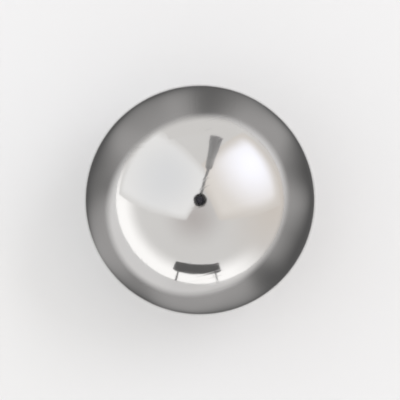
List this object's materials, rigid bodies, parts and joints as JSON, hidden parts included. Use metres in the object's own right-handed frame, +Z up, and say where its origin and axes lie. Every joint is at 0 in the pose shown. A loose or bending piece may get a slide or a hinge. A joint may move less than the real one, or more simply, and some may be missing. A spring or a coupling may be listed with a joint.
{
  "type": "steel ball",
  "caption": "Small solid sphere of mirror-polished steel, used loose as a rolling ball, a mixing or cleaning bead, or a filler weight.",
  "frame": {"origin": "centre of the ball", "axes": "+Z up, from the point of contact with the seat through the centre; X and Y are any two level directions, as a sphere has no front"},
  "size_m": [0.005, 0.005, 0.005],
  "materials": {
    "polished_steel": "lapped to a mirror, no plating"
  },
  "bodies": {
    "root": {"ball": "polished_steel"}
  },
  "joints": []
}
